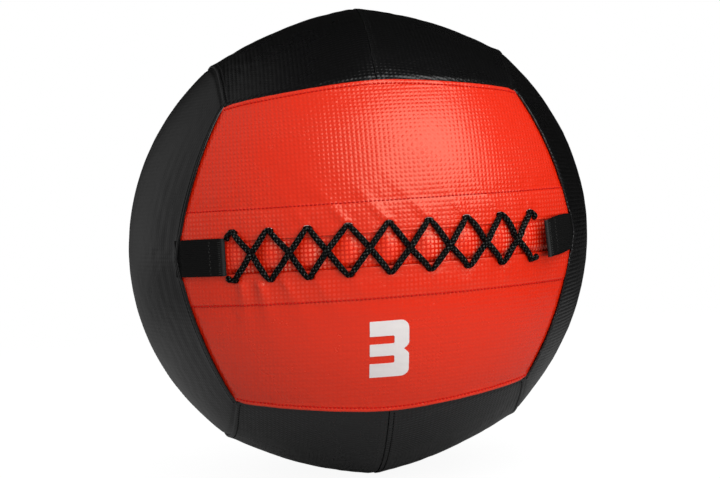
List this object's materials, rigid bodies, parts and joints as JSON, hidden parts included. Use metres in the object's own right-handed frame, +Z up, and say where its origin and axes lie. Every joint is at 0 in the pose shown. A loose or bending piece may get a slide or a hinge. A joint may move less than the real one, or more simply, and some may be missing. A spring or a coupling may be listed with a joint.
{
  "type": "wall ball",
  "caption": "Soft round exercise ball of sewn vinyl panels with a laced front closure and two webbing tabs, made to be thrown at a wall and caught.",
  "frame": {"origin": "on the floor, below the ball's middle", "axes": "+Z up, -Y towards the laced front, +X along the lacing to the right as seen from the front"},
  "size_m": [0.352, 0.3545, 0.3511],
  "materials": {
    "red_vinyl": "semi-gloss vinyl with a fine woven emboss",
    "tongue_vinyl": "semi-gloss vinyl with a fine woven emboss",
    "black_vinyl": "semi-gloss vinyl with a fine woven emboss",
    "red_thread": "bonded polyester thread",
    "black_thread": "bonded polyester thread",
    "scrim": "white backing scrim of the vinyl",
    "cord": "braided polyester",
    "webbing": "woven webbing",
    "print": "matt transfer film",
    "foam": "closed-cell foam",
    "fibre": "compressed fibre",
    "canvas": "plain canvas",
    "sand": "dry sand"
  },
  "bodies": {
    "ball": {"front_upper_panel": "red_vinyl", "front_lower_panel": "red_vinyl", "lace_tongue": "tongue_vinyl", "top_left_panel": "black_vinyl", "top_right_panel": "black_vinyl", "bottom_left_panel": "black_vinyl", "bottom_right_panel": "black_vinyl", "left_front_panel": "black_vinyl", "left_back_panel": "black_vinyl", "right_front_panel": "black_vinyl", "right_back_panel": "black_vinyl", "back_upper_panel": "black_vinyl", "back_lower_panel": "black_vinyl", "lace": "cord", "weight_numeral": "print", "liner_upper": "foam", "liner_lower": "foam", "fill_upper": "fibre", "fill_lower": "fibre", "sand_bag": "canvas", "sand": "sand"},
    "left_tab": {"left_tab": "webbing"},
    "right_tab": {"right_tab": "webbing"}
  },
  "joints": [
    {"name": "left_tab_hinge", "type": "hinge", "parent": "ball", "child": "left_tab", "pos_m": [-0.13522, -0.11616, 0.17287], "axis": [0, 0, -1], "range_deg": [0, 70], "stiffness_Nm_per_rad": 0.01},
    {"name": "right_tab_hinge", "type": "hinge", "parent": "ball", "child": "right_tab", "pos_m": [0.13522, -0.11616, 0.17649], "axis": [0, 0, 1], "range_deg": [-12, 58], "stiffness_Nm_per_rad": 0.01}
  ]
}
